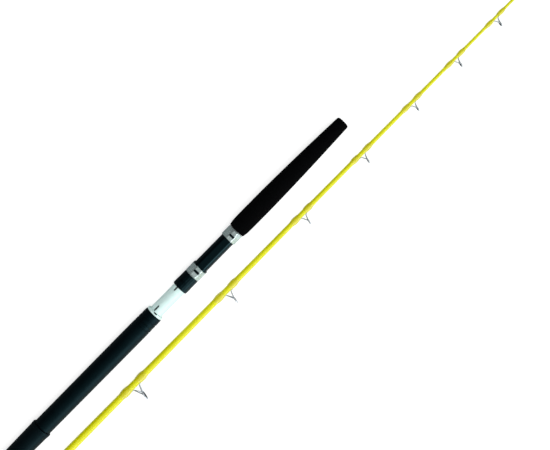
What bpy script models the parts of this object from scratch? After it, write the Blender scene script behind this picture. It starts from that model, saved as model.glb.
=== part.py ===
"""Two-piece boat fishing rod: handle section and tip section lying side by side.

Both sections run along X, butt end at -X. The reel saddle faces +Z and the line guides point to -Y,
so the rod lies flat on z = 0. Lengths below are millimetres; stations are measured along the rod from
the rear end of the butt cap, and the origin is the bottom centre of the whole rod as it lies.
"""
import bmesh
import bpy
from math import asin, cos, pi, radians, sin, sqrt
from mathutils import Matrix, Vector

for old in list(bpy.data.objects):
    bpy.data.objects.remove(old, do_unlink=True)

MM = 0.001
GAP = 0.3                       # running gap kept between touching pieces

# Stations along the handle section
CAP_END = 75.0                  # butt cap, 0 to here
GRIP_END = 305.1                # rear grip runs from the cap to here
COLLAR_END = 309.3
NOTCH_REAR = COLLAR_END - 1.9   # notch in the collar's front, over a slot in the barrel
LOCK_NUT_REAR = 357.6
LOCK_NUT_LENGTH = 10.3
HOOD_NUT_LENGTH = 14.8
HOOD_LENGTH = 15.5              # moving hood, ahead of its nut
LIP_LENGTH = 3.2
FIXED_HOOD_REAR = 457.4
FIXED_HOOD_LENGTH = 16.9
FOREGRIP_REAR = 474.8
HANDLE_LENGTH = 695.2           # front end of the foregrip

# Radii and half widths of the handle section
CAP_R = 15.9                    # at the cap's rim, the widest place
GIMBAL_R = 12.0
CORE_R, CORE_BORE_R = 8.0, 6.5
NOTCH_HALF_WIDTH = 2.8
BARREL_R, BARREL_BORE_R = 10.35, 8.3
SEAT_R = 9.9                    # barrel under the saddle sleeve
SLEEVE_R = 10.9
SADDLE_Z = 9.8                  # height of the saddle flat above the axis
HOOD_R, HOOD_BORE_R = 12.4, 11.2
POCKET_ROOF_Z = 14.55           # inside of the reel-foot pocket
NUT_R = 12.2
GRIP_R = 14.1
FOREGRIP_R, FOREGRIP_FRONT_R = 14.6, 10.1
SOCKET_BORE_R = 5.7
SPIGOT_R = 5.5

# Tip section
TIP_OFFSET = 51.9               # between the axes of the two sections
BLANK_REAR = -242.0
SPIGOT_LENGTH = 90.0            # bare length that enters the handle's socket
FIRST_GUIDE = -25.7
GUIDE_PITCHES = (235.0, 192.2, 156.8, 123.8, 104.6, 90.2, 82.8)
TIP_TOP_PITCH = 78.0
RING_DIAMETERS = (20.0, 16.0, 13.0, 11.0, 10.0, 9.0, 9.0, 9.0)
RING_STAND_OFF = 1.08           # ring centre above the blank, in ring diameters
RING_LEAN = radians(10.0)       # rings lean back towards the butt
BLANK_R_AT_FIRST_GUIDE = 6.12
BLANK_TAPER = 0.00398           # loss of radius per millimetre of length

GUIDE_STATIONS = [FIRST_GUIDE + sum(GUIDE_PITCHES[:i]) for i in range(len(RING_DIAMETERS))]
TIP_TOP = GUIDE_STATIONS[-1] + TIP_TOP_PITCH
TIP_Z = RING_DIAMETERS[0] / 2   # the largest ring touches the ground


def blank_radius(station):
    return BLANK_R_AT_FIRST_GUIDE - BLANK_TAPER * (station - FIRST_GUIDE)


def ring_height(station, diameter):
    return blank_radius(station) + RING_STAND_OFF * diameter


FARTHEST_RING = ring_height(GUIDE_STATIONS[0], RING_DIAMETERS[0])
ROW_REAR = BLANK_REAR - SPIGOT_LENGTH
ROW_FRONT = TIP_TOP + 1.0
HOOP_WIRE_R = (0.9, 0.8, 0.7, 0.65, 0.6, 0.55, 0.55, 0.55)
HALF_LEAN = (RING_DIAMETERS[0] / 2 - HOOP_WIRE_R[0]) * cos(RING_LEAN) + HOOP_WIRE_R[0]
ROW_LEFT = -TIP_OFFSET - FARTHEST_RING - HALF_LEAN
ROW_RIGHT = CAP_R


# ---------------------------------------------------------------- materials and frames

def material(name, colour, roughness, metallic=0.0):
    made = bpy.data.materials.new(name)
    made.use_nodes = True
    shader = made.node_tree.nodes["Principled BSDF"]
    shader.inputs["Base Color"].default_value = (*colour, 1.0)
    shader.inputs["Roughness"].default_value = roughness
    shader.inputs["Metallic"].default_value = metallic
    return made


BLACK_FOAM = material("eva_foam", (0.008, 0.008, 0.009), 0.9)
BLACK_RUBBER = material("moulded_rubber", (0.012, 0.013, 0.015), 0.45)
BLACK_NYLON = material("black_nylon", (0.010, 0.012, 0.014), 0.35)
POLISHED = material("polished_aluminium", (0.86, 0.88, 0.88), 0.18, 1.0)
SATIN = material("satin_aluminium", (0.62, 0.64, 0.65), 0.35, 1.0)
STAINLESS = material("stainless_wire", (0.60, 0.60, 0.60), 0.22, 1.0)
YELLOW_GLASS = material("yellow_glass_fibre", (0.80, 0.74, 0.01), 0.25)
YELLOW_THREAD = material("yellow_thread_in_epoxy", (0.72, 0.66, 0.01), 0.18)
CERAMIC = material("grey_ceramic", (0.05, 0.05, 0.055), 0.25)
GLASS_FIBRE = material("black_glass_fibre", (0.02, 0.02, 0.02), 0.4)


def frame(name, x, y, z):
    """An empty that carries the pieces of one section; x, y, z in millimetres from the row's origin."""
    empty = bpy.data.objects.new(name, None)
    empty.location = Vector((x, y, z)) * MM
    bpy.context.scene.collection.objects.link(empty)
    return empty


MIDDLE = Vector(((ROW_REAR + ROW_FRONT) / 2, (ROW_LEFT + ROW_RIGHT) / 2, 0.0))
handle_axis = frame("handle_axis", -MIDDLE.x, -MIDDLE.y, CAP_R)
tip_axis = frame("tip_axis", -MIDDLE.x, -TIP_OFFSET - MIDDLE.y, TIP_Z)


# ---------------------------------------------------------------- mesh tools

def piece(name, bm, parent, finish, at=(0.0, 0.0, 0.0), sharp=35.0):
    """Turn a bmesh in millimetres into a named object at a station of its section."""
    bmesh.ops.remove_doubles(bm, verts=bm.verts, dist=0.001)
    bmesh.ops.recalc_face_normals(bm, faces=bm.faces)
    bmesh.ops.scale(bm, vec=(MM, MM, MM), verts=bm.verts)
    mesh = bpy.data.meshes.new(name)
    bm.to_mesh(mesh)
    bm.free()
    mesh.shade_smooth()
    mesh.set_sharp_from_angle(angle=radians(sharp))
    mesh.materials.append(finish)
    made = bpy.data.objects.new(name, mesh)
    made.parent = parent
    made.location = Vector(at) * MM
    bpy.context.scene.collection.objects.link(made)
    return made


def turned(profile, steps=24):
    """Spin a closed outline of (station, radius) points about X; a radius of 0 closes on the axis."""
    bm = bmesh.new()
    points = [bm.verts.new((x, 0.0, r)) for x, r in profile]
    edges = [bm.edges.new(pair) for pair in zip(points, points[1:])]
    if profile[0][1] > 0.0:
        edges.append(bm.edges.new((points[-1], points[0])))
    bmesh.ops.spin(bm, geom=points + edges, cent=(0, 0, 0), axis=(1, 0, 0), angle=2 * pi,
                   steps=steps, use_merge=True)
    return bm


def tube_outline(rear, front, outer, inner, chamfer=0.0):
    """Outline of a plain tube, with its outer rims chamfered."""
    return [(rear, inner), (rear, outer - chamfer), (rear + chamfer, outer),
            (front - chamfer, outer), (front, outer - chamfer), (front, inner)]


def lofted(sections):
    """A closed solid through rings of equal count, each a list of points."""
    bm = bmesh.new()
    rings = [[bm.verts.new(p) for p in section] for section in sections]
    for near, far in zip(rings, rings[1:]):
        for i in range(len(near)):
            j = (i + 1) % len(near)
            bm.faces.new((near[i], near[j], far[j], far[i]))
    bm.faces.new(rings[0])
    bm.faces.new(rings[-1])
    return bm


def block(low, high):
    """A box between two corners."""
    bm = bmesh.new()
    bmesh.ops.create_cube(bm, size=1.0)
    size = Vector(high) - Vector(low)
    middle = (Vector(high) + Vector(low)) / 2
    bmesh.ops.transform(bm, matrix=Matrix.Translation(middle) @ Matrix.Diagonal((*size, 1.0)),
                        verts=bm.verts)
    return bm


def wire(path, radius, sides=6):
    """A round wire through a few points, its ends closed."""
    path = [Vector(p) for p in path]
    sections = []
    for i, point in enumerate(path):
        before = (point - path[i - 1]).normalized() if i else (path[1] - point).normalized()
        after = (path[i + 1] - point).normalized() if i + 1 < len(path) else before
        along = (before + after).normalized()
        across = along.cross(Vector((0.0, 0.0, 1.0))).normalized()
        up = across.cross(along)
        widen = 1.0 / max(0.5, along.dot(before))
        sections.append([point + radius * (across * cos(a) * widen + up * sin(a))
                         for a in (2 * pi * k / sides for k in range(sides))])
    return lofted(sections)


def tool(name, bm, like):
    """A hidden cutter or joined half that lies in the same place as another piece."""
    made = piece(name, bm, like.parent, like.data.materials[0])
    made.location = like.location
    made.hide_render = True
    made.display_type = "WIRE"
    return made


def boolean(target, operation, bm):
    step = len(target.modifiers) + 1
    modifier = target.modifiers.new(f"{operation.lower()}_{step}", "BOOLEAN")
    modifier.operation = operation
    modifier.solver = "EXACT"
    modifier.object = tool(f"{target.name}_tool_{step}", bm, target)


def cut(target, bm):
    boolean(target, "DIFFERENCE", bm)


def join(target, bm):
    boolean(target, "UNION", bm)


# ---------------------------------------------------------------- butt: core, gimbal, cap

def make_butt():
    core_rear, core_front = 30.0, HANDLE_LENGTH - 2.2
    piece("handle_core", turned(tube_outline(core_rear, core_front, CORE_R, CORE_BORE_R)),
          handle_axis, GLASS_FIBRE)

    seat = core_rear - GAP      # the core stops against this shoulder
    gimbal_rear, gimbal_front = 6.0, CAP_END - 1.0
    bore = CORE_R + GAP
    gimbal = piece("gimbal", turned([
        (gimbal_rear, 0.0), (gimbal_rear, GIMBAL_R - 1.0), (gimbal_rear + 1.0, GIMBAL_R),
        (gimbal_front - 0.6, GIMBAL_R), (gimbal_front, GIMBAL_R - 0.6), (gimbal_front, bore),
        (seat, bore), (seat, 0.0)]), handle_axis, SATIN)
    slot_depth, half_slot = 10.0, 3.2
    cut(gimbal, block((gimbal_rear - 2, -half_slot, -20), (gimbal_rear + slot_depth, half_slot, 20)))
    cut(gimbal, block((gimbal_rear - 2, -20, -half_slot), (gimbal_rear + slot_depth - 0.1, 20, half_slot)))

    floor = gimbal_rear - GAP   # rubber under the gimbal
    cavity = GIMBAL_R + GAP
    piece("butt_cap", turned([
        (0.0, 0.0), (0.0, 11.0), (1.0, 13.0), (3.4, 14.3), (7.0, 14.5),
        (CAP_END - 6.0, CAP_R - 0.3), (CAP_END - 4.0, CAP_R), (CAP_END - 1.0, CAP_R),
        (CAP_END, CAP_R - 1.0), (CAP_END, cavity), (floor, cavity), (floor, 0.0)], steps=28),
        handle_axis, BLACK_RUBBER)


# ---------------------------------------------------------------- rear grip and its collar

def make_rear_grip():
    rear, groove_pitch, groove_width, groove_depth = CAP_END + 0.5, 6.8, 1.8, 0.5
    first_groove = 279.7
    bore = CORE_R + GAP
    counterbore = BARREL_R + GAP
    outline = [(rear, bore), (rear, GRIP_R - 0.8), (rear + 0.8, GRIP_R - 0.15), (250.0, GRIP_R + 0.25)]
    for i in range(3):
        start = first_groove + i * groove_pitch
        radius = GRIP_R + 0.1 - 0.1 * i
        outline += [(start, radius), (start + groove_width / 2, radius - groove_depth),
                    (start + groove_width, radius)]
    outline += [(GRIP_END - 1.0, GRIP_R - 0.2), (GRIP_END, GRIP_R - 1.0), (GRIP_END, counterbore),
                (285.5, counterbore), (285.5, bore)]
    piece("rear_grip", turned(outline), handle_axis, BLACK_RUBBER)

    collar = piece("grip_collar", turned(tube_outline(GRIP_END + GAP, COLLAR_END, 13.1, BARREL_R + GAP, 0.5)),
                   handle_axis, POLISHED)
    cut(collar, block((NOTCH_REAR, -NOTCH_HALF_WIDTH, 5.0), (COLLAR_END + 2.0, NOTCH_HALF_WIDTH, 20.0)))


# ---------------------------------------------------------------- reel seat

KEYWAY_ANGLE = asin(4.2 / BARREL_R)     # the keyway lies this far round from the top, towards +Y
TAB_REAR = 394.5
SLEEVE_REAR = 399.0
POCKET_HALF_TOP = 5.2


def rolled(bm, angle):
    """Roll a shape about the rod's axis, from the top towards +Y."""
    bmesh.ops.rotate(bm, cent=(0, 0, 0), matrix=Matrix.Rotation(-angle, 3, "X"), verts=bm.verts)
    return bm


def flat_topped(station, radius, flat_z, count=32):
    """A circle whose top is cut off level at flat_z."""
    edge = asin(sqrt(radius ** 2 - flat_z ** 2) / radius)
    angles = [edge + (2 * pi - 2 * edge) * k / (count - 1) for k in range(count)]
    return [(station, radius * sin(a), radius * cos(a)) for a in angles]


def pocket_section(station, radius, half_top, top_z, count=30):
    """A circle with a raised flat-topped pocket on it for the reel's foot."""
    shoulder = radians(50.0)
    angles = [shoulder + (2 * pi - 2 * shoulder) * k / (count - 1) for k in range(count)]
    ring = [(station, radius * sin(a), radius * cos(a)) for a in angles]
    return ring + [(station, -half_top, top_z), (station, half_top, top_z)]


def make_barrel():
    rear, front = GRIP_END - 18.0, 474.0
    step = SLEEVE_REAR - GAP
    barrel = piece("seat_barrel", turned([
        (rear, BARREL_BORE_R), (rear, BARREL_R - 0.4), (rear + 0.4, BARREL_R), (step, BARREL_R),
        (step, SEAT_R), (front, SEAT_R), (front, BARREL_BORE_R)], steps=32), handle_axis, POLISHED)
    half_slot = 1.4
    keyway = (350.4, SLEEVE_REAR - 1.0)
    locating = (COLLAR_END + 0.6, COLLAR_END + 11.0)
    for start, end in (keyway, locating):
        cut(barrel, rolled(block((start, -half_slot, 7.0), (end, half_slot, 12.0)), KEYWAY_ANGLE))
    cut(barrel, block((NOTCH_REAR, -NOTCH_HALF_WIDTH, 7.0), (COLLAR_END, NOTCH_HALF_WIDTH, 12.0)))
    cut(barrel, block((step - 0.5, -8.0, SADDLE_Z - 0.85), (front + 5, 8.0, 14.0)))

    sleeve_front = FIXED_HOOD_REAR + 13.0
    saddle = (SLEEVE_REAR + 4.0, FIXED_HOOD_REAR - 0.6)
    low = SADDLE_Z - 0.15       # the sleeve's flat where it runs under the hoods
    sleeve = piece("saddle_sleeve", lofted([
        flat_topped(SLEEVE_REAR, SLEEVE_R, low), flat_topped(saddle[0], SLEEVE_R, low),
        flat_topped(saddle[0] + 0.1, SLEEVE_R, SADDLE_Z), flat_topped(saddle[1], SLEEVE_R, SADDLE_Z),
        flat_topped(saddle[1] + 0.1, SLEEVE_R, low), flat_topped(sleeve_front, SLEEVE_R, low)]),
        handle_axis, BLACK_NYLON)
    inner_r, inner_flat = SEAT_R + GAP, SADDLE_Z - 0.85 + GAP
    cut(sleeve, lofted([flat_topped(SLEEVE_REAR - 5, inner_r, inner_flat),
                        flat_topped(sleeve_front + 5, inner_r, inner_flat)]))


def make_fixed_hood():
    rear, front = FIXED_HOOD_REAR, FIXED_HOOD_REAR + FIXED_HOOD_LENGTH
    wall = 1.1
    hood = piece("fixed_hood", lofted([
        pocket_section(rear, HOOD_R, POCKET_HALF_TOP, POCKET_ROOF_Z + wall),
        pocket_section(rear + 7.0, HOOD_R, POCKET_HALF_TOP - 0.4, POCKET_ROOF_Z + wall - 0.2),
        pocket_section(front - 2.0, HOOD_R, POCKET_HALF_TOP - 1.6, POCKET_ROOF_Z - 0.6),
        pocket_section(front, HOOD_R - 0.8, POCKET_HALF_TOP - 1.8, HOOD_R)]), handle_axis, POLISHED)
    end_wall = front - 2.4
    cut(hood, lofted([
        pocket_section(rear - 5, HOOD_BORE_R, POCKET_HALF_TOP - 0.5, POCKET_ROOF_Z),
        pocket_section(rear + 7.0, HOOD_BORE_R, POCKET_HALF_TOP - 0.7, POCKET_ROOF_Z - 0.2),
        pocket_section(end_wall, HOOD_BORE_R, POCKET_HALF_TOP - 2.0, HOOD_R - 0.6)]))
    cut(hood, turned([(end_wall - 2, 0.0), (end_wall - 2, SEAT_R + GAP), (front + 5, SEAT_R + GAP),
                      (front + 5, 0.0)], steps=32))
    slit = rear + 7.2
    cut(hood, block((slit - 1.7, -4.4, 11.6), (slit + 1.7, 4.4, 20.0)))


def make_moving_hood():
    rear = LOCK_NUT_REAR + LOCK_NUT_LENGTH + HOOD_NUT_LENGTH + 2 * GAP
    front = rear + HOOD_LENGTH
    wall = 1.1
    hood = piece("moving_hood", lofted([
        pocket_section(rear, HOOD_R - 0.5, POCKET_HALF_TOP - 0.8, HOOD_R + 0.6),
        pocket_section(rear + 1.6, HOOD_R, POCKET_HALF_TOP - 0.4, POCKET_ROOF_Z + 0.2),
        pocket_section(rear + 6.0, HOOD_R, POCKET_HALF_TOP, POCKET_ROOF_Z + wall),
        pocket_section(front, HOOD_R, POCKET_HALF_TOP, POCKET_ROOF_Z + wall)]), handle_axis, POLISHED)
    end_wall = rear + 2.4
    cut(hood, lofted([
        pocket_section(end_wall, HOOD_BORE_R, POCKET_HALF_TOP - 0.9, HOOD_R - 0.2),
        pocket_section(rear + 6.4, HOOD_BORE_R, POCKET_HALF_TOP - 0.5, POCKET_ROOF_Z),
        pocket_section(front + 5, HOOD_BORE_R, POCKET_HALF_TOP - 0.5, POCKET_ROOF_Z)]))
    cut(hood, turned([(rear - 5, 0.0), (rear - 5, BARREL_R + GAP), (end_wall + 2, BARREL_R + GAP),
                      (end_wall + 2, 0.0)], steps=32))
    slit = front - 6.1
    cut(hood, block((slit - 1.9, -4.9, 12.6), (slit + 1.9, 4.9, 20.0)))
    tab_foot, tab_root = BARREL_BORE_R + 1.0, POCKET_ROOF_Z + 0.3     # root sunk in the pocket's side
    tab = block((TAB_REAR, -0.65, tab_foot), (TAB_REAR + 2.6, 0.65, tab_root))
    join(hood, rolled(tab, KEYWAY_ANGLE))

    lip = piece("hood_lip", turned(tube_outline(front + GAP, front + GAP + LIP_LENGTH, HOOD_R - 0.1,
                                                HOOD_BORE_R, 0.4), steps=32), handle_axis, BLACK_NYLON)
    cut(lip, block((front - 2, -POCKET_HALF_TOP, 5.0), (front + 10, POCKET_HALF_TOP, 20.0)))


def fluted(station, radius, depth, flutes):
    """A ring of shallow finger flutes."""
    points = []
    for k in range(2 * flutes):
        a = pi * k / flutes
        r = radius - depth * (k % 2)
        points.append((station, r * sin(a), r * cos(a)))
    return points


def make_nut(name, rear, length, radius, rear_round):
    """A threaded ring nut: fluted rim with a rounded rear edge, and a plain bore over the thread."""
    flutes, depth, land = 20, 0.55, 1.2
    front = rear + length
    nut = piece(name, lofted([
        fluted(rear, radius - rear_round, 0.0, flutes),
        fluted(rear + 0.3 * rear_round, radius - 0.3 * rear_round, 0.0, flutes),
        fluted(rear + rear_round, radius, 0.0, flutes),
        fluted(rear + land + rear_round, radius, depth, flutes),
        fluted(front - land, radius, depth, flutes), fluted(front, radius - 0.3, 0.0, flutes)]),
        handle_axis, BLACK_NYLON, sharp=20.0)
    bore = BARREL_R + GAP
    cut(nut, turned([(rear - 5, 0.0), (rear - 5, bore), (front + 5, bore), (front + 5, 0.0)], steps=32))


# ---------------------------------------------------------------- foregrip and ferrule socket

def make_foregrip():
    swell_start, swell_end, taper_start = FOREGRIP_REAR + 8.0, FOREGRIP_REAR + 24.0, 525.0
    end_round, end_drop, rings = 3.4, 1.5, 6
    outline = [(FOREGRIP_REAR, CORE_R + GAP), (FOREGRIP_REAR, 12.1), (FOREGRIP_REAR + 0.9, 13.0),
               (swell_start, FOREGRIP_R - 0.25), (swell_end, FOREGRIP_R)]
    taper = HANDLE_LENGTH - end_round - taper_start
    for i in range(rings + 1):
        t = i / rings
        outline.append((taper_start + taper * t, FOREGRIP_R - (FOREGRIP_R - FOREGRIP_FRONT_R) * t ** 1.6))
    for i in range(1, 4):
        a = pi / 2 * i / 3
        outline.append((HANDLE_LENGTH - end_round * (1 - sin(a)), FOREGRIP_FRONT_R - end_drop * (1 - cos(a))))
    outline.append((HANDLE_LENGTH, CORE_R + GAP))
    piece("foregrip", turned(outline), handle_axis, BLACK_FOAM)

    depth, flange = 95.0, 1.6
    flange_rear = HANDLE_LENGTH - 2.2 + GAP
    piece("ferrule_socket", turned([
        (flange_rear - depth, SOCKET_BORE_R), (flange_rear - depth, CORE_BORE_R - GAP),
        (flange_rear, CORE_BORE_R - GAP), (flange_rear, CORE_R), (flange_rear + flange, CORE_R),
        (flange_rear + flange, SOCKET_BORE_R + 0.4), (flange_rear + flange - 0.5, SOCKET_BORE_R)],
        steps=20), handle_axis, SATIN)


# ---------------------------------------------------------------- tip section: blank and ferrule

def make_blank():
    front = TIP_TOP - 9.0
    wall_rear, wall_front = 2.0, 1.0
    stations = [BLANK_REAR + (front - BLANK_REAR) * k / 4 for k in range(5)]
    outside = [(x, blank_radius(x)) for x in stations]
    inside = [(front, blank_radius(front) - wall_front), (BLANK_REAR, blank_radius(BLANK_REAR) - wall_rear)]
    piece("blank", turned(outside + inside, steps=20), tip_axis, YELLOW_GLASS)

    plug = blank_radius(BLANK_REAR + 45.0) - wall_rear - GAP
    piece("ferrule_spigot", turned([
        (ROW_REAR, 0.0), (ROW_REAR, SPIGOT_R - 1.0), (ROW_REAR + 1.5, SPIGOT_R),
        (BLANK_REAR - 2.6, SPIGOT_R), (BLANK_REAR - 2.0, blank_radius(BLANK_REAR) - 0.1),
        (BLANK_REAR - GAP, blank_radius(BLANK_REAR) - 0.1), (BLANK_REAR - GAP, plug),
        (BLANK_REAR + 40.0, plug), (BLANK_REAR + 40.0, 0.0)], steps=20), tip_axis, SATIN)
    start, length, build = BLANK_REAR + 0.5, 42.0, 0.8
    piece("ferrule_wrap", turned(wrap_outline(start, start + length, build), steps=16),
          tip_axis, YELLOW_THREAD)


def wrap_outline(rear, front, build):
    """Thread and epoxy round the blank, feathered at both ends."""
    bore = blank_radius(rear) + 0.25
    feather = 0.25 * (front - rear)
    return [(rear, bore), (rear, bore + 0.3), (rear + feather, bore + build),
            (front - feather, bore + build), (front, bore + 0.3), (front, bore)]


# ---------------------------------------------------------------- guides

def tilted(bm, height):
    """Set a ring made about X at its height on the guide side, leaning back towards the butt."""
    lean = Matrix.Rotation(-RING_LEAN, 4, "Z")
    bmesh.ops.transform(bm, matrix=Matrix.Translation((0.0, -height, 0.0)) @ lean, verts=bm.verts)
    return bm


def hoop_outline(major, wire_r, sides=6):
    """Cross-section of the hoop that holds the ceramic ring."""
    return [(wire_r * cos(a), major + wire_r * sin(a)) for a in (2 * pi * k / sides for k in range(sides))]


def torus(major, wire_r, steps):
    bm = bmesh.new()
    points = [bm.verts.new((x, 0.0, r)) for x, r in hoop_outline(major, wire_r)]
    edges = [bm.edges.new((points[i - 1], points[i])) for i in range(len(points))]
    bmesh.ops.spin(bm, geom=points + edges, cent=(0, 0, 0), axis=(1, 0, 0), angle=2 * pi,
                   steps=steps, use_merge=True)
    return bm


def make_guide(number, station, diameter, wire_r):
    """A double-foot guide: wire frame, ceramic ring, and a thread wrap over each foot."""
    name = f"guide_{number}"
    radius, height = blank_radius(station), ring_height(station, diameter)
    reach = 0.35 * diameter + 2.4           # from the ring's plane to where a wrap begins
    foot_length = 8.0 + 0.3 * diameter
    foot_low, foot_high = radius + 0.15, radius + 0.4 + 0.0225 * diameter
    half_foot = 0.75 + 0.045 * diameter
    major = diameter / 2 - wire_r
    at = (station, 0.0, 0.0)

    hoop = piece(f"{name}_frame", tilted(torus(major, wire_r, 20), height), tip_axis, STAINLESS, at)
    leg_r = 0.85 * wire_r
    for side, word in ((-1, "rear"), (1, "front")):
        toe, heel = side * (reach - 2.2), side * (reach + foot_length)
        low_x, high_x = min(toe, heel), max(toe, heel)
        join(hoop, block((low_x, -foot_high, -half_foot), (high_x, -foot_low, half_foot)))
        grip_angle = radians(50.0 if side > 0 else 66.0)
        meets = Vector((0.0, major * cos(grip_angle), major * sin(grip_angle)))
        meets.rotate(Matrix.Rotation(-RING_LEAN, 3, "Z"))
        for lateral in (-1, 1):
            start_z = lateral * (half_foot - leg_r - 0.1)
            join(hoop, wire([
                (side * (reach - 0.9), -(foot_high - 0.2), start_z),
                (side * (reach - 2.6), -(foot_high + 1.0), start_z),
                (meets.x, meets.y - height, lateral * meets.z)], leg_r))

        near_end, far_end = side * reach, side * (reach + foot_length + 4.0)
        rear, front = min(near_end, far_end), max(near_end, far_end)
        bore = blank_radius(station + rear) + 0.2
        outer = radius + 0.95 + 0.0225 * diameter
        feather = 0.25 * (front - rear)
        wrap = piece(f"{name}_{word}_wrap", turned([
            (rear, bore), (rear, bore + (0.4 if side > 0 else 0.15)), (rear + feather, outer),
            (front - feather, outer), (front, bore + (0.15 if side > 0 else 0.4)), (front, bore)],
            steps=16), tip_axis, YELLOW_THREAD, at)
        clear = 0.15
        cut(wrap, block((low_x - clear, -(foot_high + clear), -(half_foot + clear)),
                        (high_x + clear, -(radius - 0.4), half_foot + clear)))

    outer_r = diameter / 2 - 2 * wire_r - 0.2
    thick, half_width = 0.9 + 0.02 * diameter, 1.1
    ring = turned([(-half_width, outer_r - 0.25), (-0.5, outer_r), (0.5, outer_r),
                   (half_width, outer_r - 0.25), (0.5, outer_r - thick), (-0.5, outer_r - thick)], steps=16)
    piece(f"{name}_ring", tilted(ring, height), tip_axis, CERAMIC, at)


# ---------------------------------------------------------------- tip-top

def make_tip_top():
    """Cap tube over the blank's tip, with a ring on it held by two side wires."""
    tube_rear, tube_front = TIP_TOP - 22.0, TIP_TOP - 4.0
    diameter, wire_r = RING_DIAMETERS[-1], HOOP_WIRE_R[-1]
    bore, outer = blank_radius(tube_rear) + 0.25, blank_radius(tube_rear) + 0.85
    major = diameter / 2 - wire_r
    height = 5.4
    at = (TIP_TOP, 0.0, 0.0)
    rear, front = tube_rear - TIP_TOP, tube_front - TIP_TOP
    top = piece("tip_top_frame", turned([
        (rear, bore), (rear, outer), (front, outer), (front + 0.6, outer - 0.6), (front + 0.6, 0.0),
        (front - 2.0, 0.0), (front - 2.0, bore)], steps=16), tip_axis, STAINLESS, at)
    hoop = torus(major, wire_r, 20)
    bmesh.ops.translate(hoop, vec=(0.0, -height, 0.0), verts=hoop.verts)
    join(top, hoop)
    join(top, wire([(front - 0.6, -0.4, 0.0), (0.0, -(height - major), 0.0)], 0.75))
    for lateral in (-1, 1):
        join(top, wire([(rear + 3.0, -(outer - 0.15), lateral * 0.9),
                        (rear + 6.0, -(outer + 0.8), lateral * 1.3),
                        (0.0, -(height + 0.3 * major), lateral * 0.95 * major)], 0.5))
    outer_r = diameter / 2 - 2 * wire_r - 0.2
    ring = turned([(-1.0, outer_r - 0.25), (-0.5, outer_r), (0.5, outer_r), (1.0, outer_r - 0.25),
                   (0.5, outer_r - 1.0), (-0.5, outer_r - 1.0)], steps=16)
    bmesh.ops.translate(ring, vec=(0.0, -height, 0.0), verts=ring.verts)
    piece("tip_top_ring", ring, tip_axis, CERAMIC, at)
    piece("tip_top_wrap", turned(wrap_outline(tube_rear - 14.5, tube_rear - 0.5, 0.7), steps=16),
          tip_axis, YELLOW_THREAD)


make_butt()
make_rear_grip()
make_barrel()
make_fixed_hood()
make_moving_hood()
make_nut("lock_nut", LOCK_NUT_REAR, LOCK_NUT_LENGTH, NUT_R + 0.2, 1.6)
make_nut("hood_nut", LOCK_NUT_REAR + LOCK_NUT_LENGTH + GAP, HOOD_NUT_LENGTH, NUT_R, 0.5)
make_foregrip()
make_blank()
for index, (where, across, thickness) in enumerate(zip(GUIDE_STATIONS, RING_DIAMETERS, HOOP_WIRE_R)):
    make_guide(index + 1, where, across, thickness)
make_tip_top()
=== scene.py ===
"""Looks of a take-apart boat fishing rod, its handle section and tip section lying side by side.

Lengths are millimetres unless a name says otherwise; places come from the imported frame.
"""
from math import atan2, cos, pi, radians, sin

import bmesh
import bpy
from mathutils import Matrix, Vector


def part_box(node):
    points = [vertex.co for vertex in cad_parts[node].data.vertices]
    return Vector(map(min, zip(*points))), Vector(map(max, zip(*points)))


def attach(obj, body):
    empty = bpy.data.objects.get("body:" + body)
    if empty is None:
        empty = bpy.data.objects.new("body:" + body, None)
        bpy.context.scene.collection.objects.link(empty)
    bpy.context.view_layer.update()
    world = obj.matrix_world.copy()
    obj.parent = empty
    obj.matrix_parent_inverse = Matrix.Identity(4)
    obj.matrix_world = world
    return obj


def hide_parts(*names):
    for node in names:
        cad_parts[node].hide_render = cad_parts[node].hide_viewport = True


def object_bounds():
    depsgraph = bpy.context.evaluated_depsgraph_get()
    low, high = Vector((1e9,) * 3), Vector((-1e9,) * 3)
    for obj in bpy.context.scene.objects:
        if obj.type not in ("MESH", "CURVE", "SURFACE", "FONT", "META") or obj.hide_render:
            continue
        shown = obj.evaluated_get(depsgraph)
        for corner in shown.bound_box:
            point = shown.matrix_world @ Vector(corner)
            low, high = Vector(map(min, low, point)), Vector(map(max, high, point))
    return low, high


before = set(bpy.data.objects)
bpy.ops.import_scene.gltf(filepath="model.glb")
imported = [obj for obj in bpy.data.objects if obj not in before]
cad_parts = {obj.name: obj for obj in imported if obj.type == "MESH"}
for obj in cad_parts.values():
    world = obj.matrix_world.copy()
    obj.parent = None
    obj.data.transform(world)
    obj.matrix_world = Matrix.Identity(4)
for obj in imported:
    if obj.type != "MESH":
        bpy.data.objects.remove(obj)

cad_low, cad_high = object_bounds()


# ------------------------------------------------------------------ butt cap
# A thick cup of black moulded rubber, pushed over the metal butt end and held by its own stretch.
# Its rim is swelled a little so that it can be gripped and pulled off.

MM = 0.001


def linear(hex_colour):
    """A hex sRGB colour as the linear colour that shaders take."""
    channels = [int(hex_colour[i:i + 2], 16) / 255 for i in (1, 3, 5)]
    return (*[c / 12.92 if c <= 0.04045 else ((c + 0.055) / 1.055) ** 2.4 for c in channels], 1.0)


def add(tree, kind, settings, links=()):
    """A new node of this kind, or the tree's own one by that name, with its settings and its links."""
    node = tree.nodes.get(kind) or tree.nodes.new(kind)
    for key, value in settings.items():
        if isinstance(key, int) or key in node.inputs:
            node.inputs[key].default_value = value
        else:
            setattr(node, key, value)
    for key, source in dict(links).items():
        tree.links.new(source, node.inputs[key])
    return node


def new_material(name):
    """An empty material's node tree, with the surface's own coordinates in millimetres."""
    made = bpy.data.materials.new(name)
    made.use_nodes = True
    tree = made.node_tree
    place = add(tree, "ShaderNodeTexCoord", {})
    millimetres = add(tree, "ShaderNodeVectorMath", {"operation": "SCALE", "Scale": 1 / MM},
                      {0: place.outputs["Object"]})
    return made, tree, millimetres.outputs["Vector"]


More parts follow.
